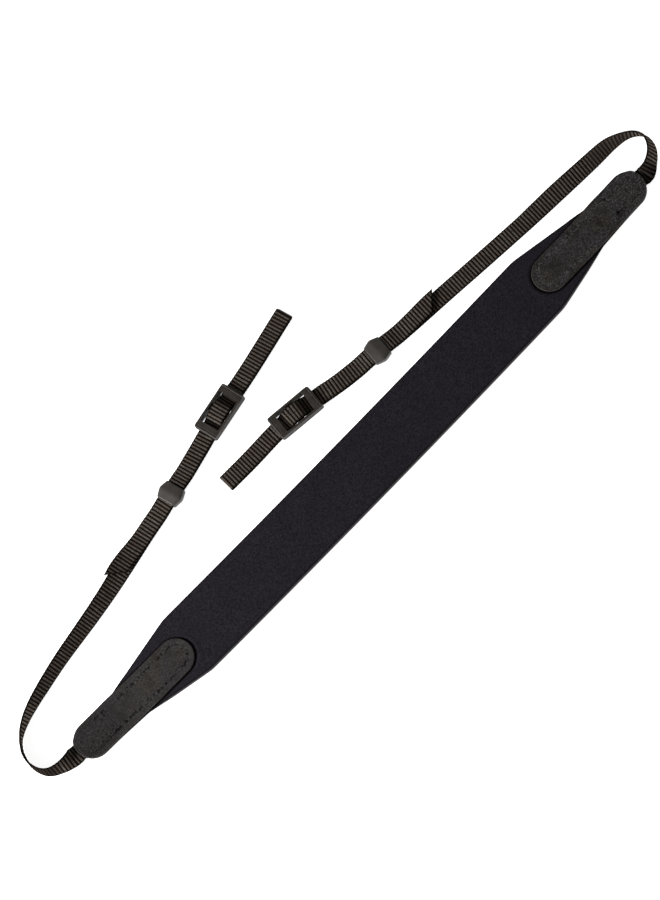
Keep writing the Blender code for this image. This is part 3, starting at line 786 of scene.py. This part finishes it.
def leaf_top(x, y, inset):
    """How far the leaf's face lies under its full thickness, at an inset from its edge."""
    groove = SEAM_DEPTH * bell(inset - STITCH_INSET, SEAM_WIDTH)
    waves = LEATHER_WAVES * np.sin(x / 3.1 + y / 4.3) * np.sin(x / 7.7 - y / 2.9)
    return rounded_edge(inset, LEATHER_EDGE) + groove + waves * smoothstep(inset, 0.5, 3.0)


def make_leaf(name, strand, under, mat):
    """One leaf, in rings from its centre line out over the edge and back underneath."""
    outline = tab_outline()
    marks = LEAF_MARKS[strand.name]
    rows, rim, hole_shading, glint_band, handled = [], [], [], [], []
    for upper in (True, False):
        for inset in LEAF_INSETS if upper else LEAF_INSETS[::-1]:
            reach = TAB_RADIUS - inset
            x = outline[:, 0] + outline[:, 1] * reach
            y = outline[:, 2] * reach
            low = under(x, y)
            face = leaf_top(x, y, inset)
            z = low + LEATHER - face if upper else low + np.minimum(face, LEATHER_HOLLOW)
            rows.append(np.stack([strand.side * x, y + tab_line(x), z], axis=1))
            # painted highlight along the rounded rim
            rim.append(np.full(len(x), 1.0 - smoothstep(inset, *RIM_HIGHLIGHT_INSETS)))
            # painted shade along the seam's needle holes and at the sewn box's inner corners
            seam = marks.pits * bell(inset - PITTED_INSET, PITTED_WIDTH)
            from_hole = np.hypot(x - HOLE[0], np.abs(y) - HOLE[1])
            hole_shading.append(np.maximum(seam, HOLE_STRENGTH * bell(from_hole, HOLE_RADIUS)))
            # painted glints along the seam and by the sewn box
            by_box = DENTED_BY_BOX * smoothstep(x, BOX_START - DENTED_RUN, BOX_START)
            band = bell(inset - DENTED_INSET, DENTED_WIDTH)
            glint_band.append(marks.tips * np.maximum(band, by_box))
            # darker towards the tab's outer end
            handled.append(marks.handled * smoothstep(x, BOX_START - DARKENING_RUN, BOX_START))
    faces = ring_faces(len(rows), len(outline), capped=False)
    facts = {"rim": rim, "hole_shading": hole_shading, "glint_band": glint_band, "handled": handled,
             "coarse": np.full((len(rows), len(outline)), marks.coarse)}
    return make_mesh(name, rows, faces, mat, facts)


def stitch_lines():
    """The (start, end) of every stitch on a tab, in plan: its rim, its box and the cross."""
    reach = TAB_RADIUS - STITCH_INSET
    outline = tab_outline()
    rim = np.stack([outline[:, 0] + outline[:, 1] * reach, outline[:, 2] * reach], axis=1)
    corners = [(BOX_START, -BOX_HALF), (BOX_END, -BOX_HALF), (BOX_END, BOX_HALF),
               (BOX_START, BOX_HALF), (BOX_START, -BOX_HALF), (BOX_END, BOX_HALF)]
    runs = [np.concatenate([rim, rim[:1]]), np.array(corners),
            np.array([(BOX_START, BOX_HALF), (BOX_END, -BOX_HALF)])]
    stitches = []
    for run in runs:
        at = walk(run)
        count = int(round(at[-1] / STITCH_PITCH))
        for k in range(count):
            start = (k + 0.5) * at[-1] / count - STITCH_LENGTH / 2
            stitches.append(read_at([start, start + STITCH_LENGTH], at, run))
    return stitches


def make_stitches(name, strand, under, upper, mat):
    """All stitches that show on one leaf's face, as short curved threads in one mesh."""
    steps = np.linspace(0.0, 1.0, 9)
    turn = np.linspace(0.0, 2 * math.pi, 8, endpoint=False)
    points, faces, twist = [], [], []
    for (x0, y0), (x1, y1) in stitch_lines():
        x = x0 + (x1 - x0) * steps
        y = y0 + (y1 - y0) * steps
        foot = np.clip(x, TAB_INNER + TAB_RADIUS, TAB_OUTER - TAB_RADIUS)
        inset = TAB_RADIUS - np.hypot(x - foot, y)
        rise = np.sin(math.pi * steps) ** 0.6
        radius = THREAD * (THREAD_THINNED + (1.0 - THREAD_THINNED) * rise)
        if upper:
            face = under(x, y) + LEATHER - leaf_top(x, y, inset)
            z = face - THREAD_DIP + THREAD_RISE * rise
        else:
            z = under(x, y) + BACK_THREAD_DIP - BACK_THREAD_RISE * rise
        length = math.hypot(x1 - x0, y1 - y0)
        side_x, side_y = -(y1 - y0) / length, (x1 - x0) / length
        first = len(points) * len(steps) * len(turn)
        out = np.cos(turn) * radius[:, None]
        up = np.sin(turn) * radius[:, None]
        px = x[:, None] + side_x * out
        py = y[:, None] + side_y * out + tab_line(x)[:, None]
        pz = z[:, None] + up
        points.append(np.stack([strand.side * px, py, pz], axis=-1))
        twist.append(turn + steps[:, None] * THREAD_TWIST)
        faces += [[i + first for i in face] for face in ring_faces(len(steps), len(turn))]
    # the share of painted glints on this tab's stitches
    facts = {"twist": twist, "glint": np.full(np.shape(twist), LEAF_MARKS[strand.name].thread)}
    return make_mesh(name, points, faces, mat, facts)


# Webbing

def slopes_through(values, at, keep_level):
    """Slopes for a smooth curve through values, which can be kept from overshooting."""
    steps = np.diff(at)
    slopes = np.diff(values) / steps
    out = np.empty(len(values))
    out[0] = slopes[0]
    out[-1] = slopes[-1]
    for i in range(1, len(values) - 1):
        before, after = slopes[i - 1], slopes[i]
        if keep_level and before * after <= 0:
            out[i] = 0.0
        elif keep_level:
            out[i] = 2 * before * after / (before + after)
        else:
            share = steps[i - 1] + steps[i]
            out[i] = (before * steps[i] + after * steps[i - 1]) / share
    return out


def smooth_through(values, at, fine, keep_level=False):
    """The curve through values at their distances, read at the fine distances."""
    values = np.asarray(values, float)
    slope = slopes_through(values, at, keep_level)
    i = np.clip(np.searchsorted(at, fine, side="right") - 1, 0, len(at) - 2)
    span = at[i + 1] - at[i]
    t = (fine - at[i]) / span
    rise = values[i + 1] - values[i]
    start, end = slope[i] * span, slope[i + 1] * span
    curl = start + end - 2 * rise
    return values[i] + t * (start + t * (3 * rise - 2 * start - end + t * curl))


def lower_layer(strand):
    """Distance from the tip, centre, travel, across and normal, from sewn end to tip."""
    sewn = [Row(strand.side * x, bow(x), LEATHER + GAP, 0) for x in (WEB_START, WEB_SEWN)]
    rows = sewn + strand.route
    plan = np.array([(row.x, row.y) for row in rows])
    at = walk(plan)
    fine = np.linspace(0, at[-1], int(at[-1] / FINE_STEP))
    x = smooth_through(plan[:, 0], at, fine)
    y = smooth_through(plan[:, 1], at, fine)
    lift = smooth_through([row.lift for row in rows], at, fine, keep_level=True)
    roll = np.radians(smooth_through([row.roll for row in rows], at, fine, keep_level=True))
    walked = walk(np.stack([x, y], axis=1))
    from_tip = walked[-1] - walked
    over_bar = plateau(from_tip - strand.buckle, CENTRE_BAR_FLAT, CENTRE_BAR_RAMP)
    in_keeper = plateau(from_tip - strand.keeper, KEEPER_FLAT, KEEPER_RAMP)
    lift += (CENTRE_BAR_TOP + GAP) * over_bar
    lift += (KEEPER_WALL + GAP) * in_keeper
    z = lift + WEB_WIDTH / 2 * np.abs(np.sin(roll)) + WEB_THICK / 2 * np.abs(np.cos(roll))

    centre = np.stack([x, y, z], axis=1)
    travel = unit(np.gradient(centre, axis=0))
    inward = unit(np.cross((0, 0, strand.side), travel))
    upward = np.cross(travel, inward) * strand.side
    across = inward * np.cos(roll)[:, None] + upward * np.sin(roll)[:, None]
    normal = np.cross(across, travel) * strand.side
    return from_tip, centre, travel, across, normal


def whole_band(strand):
    """The band's stations from its sewn end round the tip to the end of the tail.

    Returns the distance along it, the centre, across and normal at every step, and the
    distance of the tail's square end, from which the slanted cut is measured.
    """
    from_tip, centre, travel, across, normal = lower_layer(strand)
    turn = np.linspace(0, math.pi, FOLD_STEPS)[1:-1, None]
    up, on, over = normal[-1], travel[-1], across[-1]
    fold = centre[-1] + LAYER / 2 * (up * (1 - np.cos(turn)) + on * np.sin(turn))
    fold_normal = up * np.cos(turn) - on * np.sin(turn)

    spare = WEB_WIDTH / 2 * math.tan(TAIL_SLANT)
    back = from_tip[::-1]
    kept = back <= strand.tail + spare
    loose = smoothstep(back[kept], strand.tail - TAIL_LOOSE, strand.tail)[:, None]
    tail = (centre[::-1][kept] + normal[::-1][kept] * (LAYER + strand.stand * loose)
            + across[::-1][kept] * strand.drift * loose)
    centres = np.concatenate([centre, fold, tail])
    acrosses = np.concatenate([across, np.tile(over, (len(fold), 1)), across[::-1][kept]])
    normals = np.concatenate([normal, fold_normal, -normal[::-1][kept]])

    along = walk(centres)
    square_end = along[len(centre) + len(fold)] + strand.tail
    fine = np.arange(0, along[-1], RIB_PITCH / RIB_STEPS)
    read = [read_at(fine, along, table) for table in (centres, acrosses, normals)]
    return fine, read[0], unit(read[1]), unit(read[2]), square_end


def make_webbing(strand, mat):
    """The ribbed band, with a rounded rib every two millimetres on both its faces."""
    along, centre, across, normal, square_end = whole_band(strand)
    v = WEB_WIDTH / 2 * np.sin(np.linspace(-math.pi / 2, math.pi / 2, WEB_COLUMNS))
    v = np.concatenate([v, v[-2:0:-1]])
    face = np.concatenate([np.ones(WEB_COLUMNS), -np.ones(WEB_COLUMNS - 2)])
    face[[0, WEB_COLUMNS - 1]] = 0.0

    # Each column ends on the slanted cut
    end = square_end + v * math.tan(TAIL_SLANT)
    s = np.minimum(along[:, None], end)
    at = [read_at(s, along, table) for table in (centre, across, normal)]

    # The ribs run a little unevenly
    drift = 0.10 * np.sin(s / 7.3) + 0.07 * np.sin(s / 2.9 + v / 5.0)
    phase = np.mod((s + drift) / RIB_PITCH, 1.0)
    groove = np.abs(2 * phase - 1) ** RIB_POWER
    edge = smoothstep(np.abs(v), *RIBS_END)
    beyond = np.clip((np.abs(v) - (WEB_WIDTH / 2 - SELVEDGE)) / SELVEDGE, 0.0, 1.0)
    rounded = np.sqrt(1.0 - beyond ** 2)
    lost = RIB_DEPTH * groove * (1 - edge)
    half = (WEB_THICK / 2 - lost - SELVEDGE_THINNER * edge) * rounded
    pull = SCALLOP * groove * smoothstep(np.abs(v), *SCALLOPED)
    out = v - np.sign(v) * pull
    points = at[0] + at[1] * out[..., None] + at[2] * (half * face)[..., None]

    tones = TONES[strand.name]
    past_tab = s - (TAB_OUTER - WEB_START + CLEAR_OF_TAB)
    # painted shadow of the leaf on the webbing just past the tab
    stiffened = tones.stiffened * plateau(past_tab, *TAB_SHADOW_SPAN)
    # painted shade on the bend of the loop
    bent = plateau(past_tab - tones.bent_at, *BEND_SHADE_SPAN)
    # painted shade on the webbing's slope under the buckle's +X end bar
    from_tip = np.abs(s - (square_end - strand.tail))
    from_bar = from_tip - (strand.buckle + strand.side * BAR_SHADE_FROM_MIDDLE)
    bar_shade = BAR_SHADE * plateau(from_bar, *BAR_SHADE_SPAN)
    shifted = v + LOWER_FACE_SHIFT * (face < 0)
    facts = {
        "along": s,
        "across": np.broadcast_to(shifted, s.shape),
        "crest": 1.0 - groove,
        "edge": np.broadcast_to(edge, s.shape),
        "faded": plateau(past_tab - tones.faded_at, *LIGHTER_SPAN),
        # painted shade on the loops' bends, and under the buckle's +X end bar
        "flattened": tones.flattened * bent,
        "dulled": np.maximum(tones.dulled * bent, bar_shade),
        # the tail's dark sealed cut, and the painted shadow of the leaf past the tab
        "sealed_and_tab_shadow": np.maximum(smoothstep(s - end, *TAIL_SEALED), stiffened),
    }
    faces = ring_faces(len(along), len(v))
    return make_mesh("webbing_ribbed_" + strand.name, points, faces, mat, facts)


def seat(strand, from_tip_at, half_length, aside=0.0, askew=0.0):
    """The place and turn of a piece on the strand, centred on the strand's bend there.

    aside moves it across the strand, towards +Y, and askew turns it, in degrees.
    """
    from_tip, centre = lower_layer(strand)[:2]
    places = from_tip_at + half_length * np.array([-1, 0, 1])
    (x0, y0), (xm, ym), (x1, y1) = read_at(-places, -from_tip, centre[:, :2])
    turn = math.atan2(y0 - y1, x0 - x1)
    across = math.copysign(aside, math.cos(turn))
    x = (x0 + x1 + 2 * xm) / 4 - across * math.sin(turn)
    y = (y0 + y1 + 2 * ym) / 4 + across * math.cos(turn)
    turn += math.radians(askew)
    return Matrix.Translation((x * MM, y * MM, 0.0)) @ Matrix.Rotation(turn, 4, "Z")


# Buckle

def prism(name, outline, low, high, upright=True):
    """A prism of an outline, along Z, or along Y where the outline is a side view."""
    layers = []
    for level in (low, high):
        layers += [(a, b, level) if upright else (a, level, b) for a, b in outline]
    return make_mesh(name, layers, ring_faces(2, len(outline)), None)


def rounded_rectangle(half_length, half_width, radius, steps=8):
    """The outline of a rectangle about the origin, with arcs at its corners."""
    points = []
    for quarter, (sx, sy) in enumerate(((1, 1), (-1, 1), (-1, -1), (1, -1))):
        for k in range(steps + 1):
            angle = math.pi / 2 * (quarter + k / steps)
            points.append((sx * (half_length - radius) + radius * math.cos(angle),
                           sy * (half_width - radius) + radius * math.sin(angle)))
    return points


def buckle_side():
    """The frame seen from the side: flat, with a groove and a rounded lip at each end."""
    end, top, low = BUCKLE_LENGTH / 2, BUCKLE_TOP, BUCKLE_FLOOR
    lip, fall = BUCKLE_LIP, BUCKLE_LIP_FALL
    right = [(end - lip - further, top - down) for further, down in BUCKLE_GROOVE]
    for k in range(7):
        angle = math.pi / 2 * (1 - k / 6)
        right.append((end - lip + lip * math.cos(angle), top - fall + fall * math.sin(angle)))
    right += [(end, low + BUCKLE_CHAMFER), (end - BUCKLE_CHAMFER, low)]
    return right + [(-x, z) for x, z in reversed(right)]


def combine(obj, other, operation):
    """Applies a Boolean with another object, which is then removed."""
    modifier = obj.modifiers.new("with", "BOOLEAN")
    modifier.operation = operation
    modifier.object = other
    settle(obj)
    bpy.data.objects.remove(other)


def settle(obj):
    """Turns the object's modifiers into its mesh."""
    bpy.context.view_layer.update()
    graph = bpy.context.evaluated_depsgraph_get()
    mesh = bpy.data.meshes.new_from_object(obj.evaluated_get(graph))
    obj.modifiers.clear()
    obj.data = mesh


def ease_edges(obj, width, angle):
    """Rounds every edge sharper than the angle, and shades the faces as one surface."""
    bevel = obj.modifiers.new("ease", "BEVEL")
    bevel.width = width * MM
    bevel.segments = 3
    bevel.limit_method = "ANGLE"
    bevel.angle_limit = math.radians(angle)
    bevel.harden_normals = True
    bevel.miter_outer = "MITER_ARC"
    settle(obj)
    obj.data.shade_smooth()
    weighted = obj.modifiers.new("shade", "WEIGHTED_NORMAL")
    weighted.keep_sharp = True
    weighted.weight = 80
    settle(obj)


def make_buckle(strand, mat):
    """The slider: rails, two end bars over the webbing, and a centre bar under it."""
    half_slot = SLOT_WIDTH / 2
    window = BUCKLE_LENGTH / 2 - END_BAR
    plan = rounded_rectangle(BUCKLE_LENGTH / 2, BUCKLE_WIDTH / 2, BUCKLE_CORNER)
    frame = prism("buckle_moulded_" + strand.name, plan, 0.0, BUCKLE_TOP + CUT_PAST)
    side = prism("side", buckle_side(), -SIDE_REACH, SIDE_REACH, upright=False)
    combine(frame, side, "INTERSECT")
    passage = rounded_rectangle(BUCKLE_LENGTH, half_slot, PASSAGE_CORNER, 2)
    combine(frame, prism("passage", passage, -CUT_PAST, END_BAR_UNDER), "DIFFERENCE")
    opening = rounded_rectangle(window, half_slot, WINDOW_CORNER, 4)
    over_top = BUCKLE_TOP + 2 * CUT_PAST
    combine(frame, prism("opening", opening, -CUT_PAST, over_top), "DIFFERENCE")
    bar = rounded_rectangle(half_slot + CENTRE_BAR_OVERLAP, CENTRE_BAR_LENGTH / 2,
                            CENTRE_BAR_CORNER, 3)
    bar = [(y, x) for x, y in bar]
    combine(frame, prism("bar", bar, BUCKLE_FLOOR, CENTRE_BAR_TOP), "UNION")
    ease_edges(frame, BUCKLE_EDGE, BUCKLE_SHARP)
    place_at = seat(strand, strand.buckle, BUCKLE_LENGTH / 2, strand.aside, strand.askew)
    frame.data.transform(place_at)
    frame.data.materials.clear()
    frame.data.materials.append(mat)
    return frame


# Keeper

def barrel(x):
    """1 in the keeper's middle and 0 at its ends, with nearly straight slopes."""
    return 1.0 - (math.hypot(x, 1.0) - 1.0) / (math.hypot(KEEPER_LENGTH / 2, 1.0) - 1.0)


def keeper_section(x, half_width, low, high, squareness, turn):
    """A closed section at x between two heights, with its lower and upper squareness."""
    middle = (low + high) / 2
    power = np.where(np.sin(turn) > 0, squareness[1], squareness[0])
    y = np.sign(np.cos(turn)) * np.abs(np.cos(turn)) ** (2 / power) * half_width
    z = np.sign(np.sin(turn)) * np.abs(np.sin(turn)) ** (2 / power) * (high - low) / 2
    return np.stack([np.full_like(y, x), y, middle + z], axis=1)


def make_keeper(strand, mat):
    """A barrel-shaped sleeve: its outside, its rounded lips and its slot in one skin."""
    turn = np.linspace(0.0, 2 * math.pi, 96, endpoint=False)
    slot_top = KEEPER_WALL + KEEPER_SLOT_HEIGHT
    half = KEEPER_LENGTH / 2
    rounded = np.array([0.0, 0.06, 0.2, KEEPER_LIP])
    level = np.linspace(-half + 1.0, half - 1.0, 19)
    rows = []
    for x in np.concatenate([-half + rounded, level, half - rounded[::-1]]):
        bulge = barrel(x)
        into_lip = max(0.0, 1 - (half - abs(x)) / KEEPER_LIP)
        lip = KEEPER_LIP_DEPTH * (1 - math.sqrt(1 - into_lip ** 2))
        wide = (KEEPER_END_WIDTH + (KEEPER_MID_WIDTH - KEEPER_END_WIDTH) * bulge) / 2 - lip
        high = slot_top + KEEPER_END_ROOF + KEEPER_BULGE * bulge - lip
        rows.append(keeper_section(x, wide, lip, high, KEEPER_SQUARENESS, turn))
    for x in np.linspace(half - KEEPER_SLOT_INSET, -half + KEEPER_SLOT_INSET, 9):
        rows.append(keeper_section(x, KEEPER_SLOT_WIDTH / 2, KEEPER_WALL, slot_top,
                                   KEEPER_SLOT_SQUARENESS, turn))
    faces = ring_faces(len(rows), len(turn), joined=True)
    keeper = make_mesh("keeper_moulded_" + strand.name, rows, faces, mat)
    keeper.data.transform(seat(strand, strand.keeper, half))
    return keeper


# Stage

def camera_matrix():
    """The camera's place and turn for the photo's view."""
    away = Vector((-math.sin(CAMERA_SIDE) * math.cos(CAMERA_ELEVATION),
                   -math.cos(CAMERA_SIDE) * math.cos(CAMERA_ELEVATION),
                   math.sin(CAMERA_ELEVATION)))
    level = Vector((1, 0, 0))
    level = (level - level.dot(away) * away).normalized()
    over = away.cross(level)
    right = level * math.cos(CAMERA_ROLL) - over * math.sin(CAMERA_ROLL)
    up = level * math.sin(CAMERA_ROLL) + over * math.cos(CAMERA_ROLL)
    matrix = Matrix((right, up, away)).transposed().to_4x4()
    matrix.translation = (Vector(CAMERA_TARGET) + away * CAMERA_DISTANCE) * MM
    return matrix


def make_camera():
    """A camera that sees as much of the target's surroundings as the photo shows."""
    view_width = PHOTO_WIDTH / PIXELS_PER_MM
    data = bpy.data.cameras.new("camera")
    data.sensor_fit = "HORIZONTAL"
    data.sensor_width = SENSOR
    data.lens = SENSOR * CAMERA_DISTANCE / view_width
    data.clip_end = FARTHEST
    camera = new_object("camera", data)
    camera.matrix_world = camera_matrix()
    bpy.context.scene.camera = camera


def make_softbox():
    """A square soft light that faces the strap."""
    data = bpy.data.lights.new("softbox", "AREA")
    data.size = SOFTBOX_SIZE
    data.energy = SOFTBOX_WATTS
    lamp = new_object("softbox", data)
    away = Vector(SOFTBOX_PLACE)
    lamp.location = away
    lamp.rotation_euler = away.to_track_quat("Z", "Y").to_euler()


def make_stage():
    """A lit white table, a surround that is brightest at the horizon, and one softbox."""
    mat = new_material("table", Roughness=0.9, Specular_IOR_Level=0.0,
                       Base_Color=TABLE_WHITE, Emission_Color=WHITE,
                       Emission_Strength=TABLE_GLOW)[0]
    mesh = bpy.data.meshes.new("table")
    corners = [(x * TABLE_HALF, y * TABLE_HALF, 0)
               for x, y in ((-1, -1), (1, -1), (1, 1), (-1, 1))]
    mesh.from_pydata(corners, [], [(0, 1, 2, 3)])
    mesh.materials.append(mat)
    table = new_object("table", mesh)
    table.location = (0, 0, -TABLE_DROP)

    world = bpy.data.worlds.new("surround")
    bpy.context.scene.world = world
    world.use_nodes = True
    tree = world.node_tree
    background = tree.nodes["Background"]
    background.inputs["Color"].default_value = WHITE
    ray = add(tree, "TexCoord").outputs["Generated"]
    upward = add(tree, "SeparateXYZ", {"Vector": ray}).outputs["Z"]
    strength = scaled(tree, upward, *HORIZON_BAND, HORIZON_STRENGTH, ZENITH_STRENGTH)
    tree.links.new(strength, background.inputs["Strength"])
    make_softbox()
    bpy.context.scene.view_settings.view_transform = "Standard"


def main():
    """Builds the stage and every piece."""
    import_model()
    make_stage()
    make_camera()

    knit = knit_material()
    leather = leather_material()
    woven = webbing_material()
    matte = plastic_material("plastic_matte", 0.0)
    satin = plastic_material("plastic_satin", 1.0)
    thread = thread_material()

    make_pad(knit)
    leaves = (("back", under_back, False), ("front", under_front, True))
    for strand in STRANDS:
        for layer, under, upper in leaves:
            node = f"tab_{layer}_{strand.name}"
            enlist(make_leaf("leather_" + node, strand, under, leather), "leather", node)
            stitches = make_stitches("stitches_" + node, strand, under, upper, thread)
            enlist(stitches, "leather")
        enlist(make_webbing(strand, woven), "webbing", "webbing_" + strand.name)
        enlist(make_buckle(strand, matte), "plastic", "buckle_" + strand.name)
        enlist(make_keeper(strand, satin), "plastic", "keeper_" + strand.name)


main()
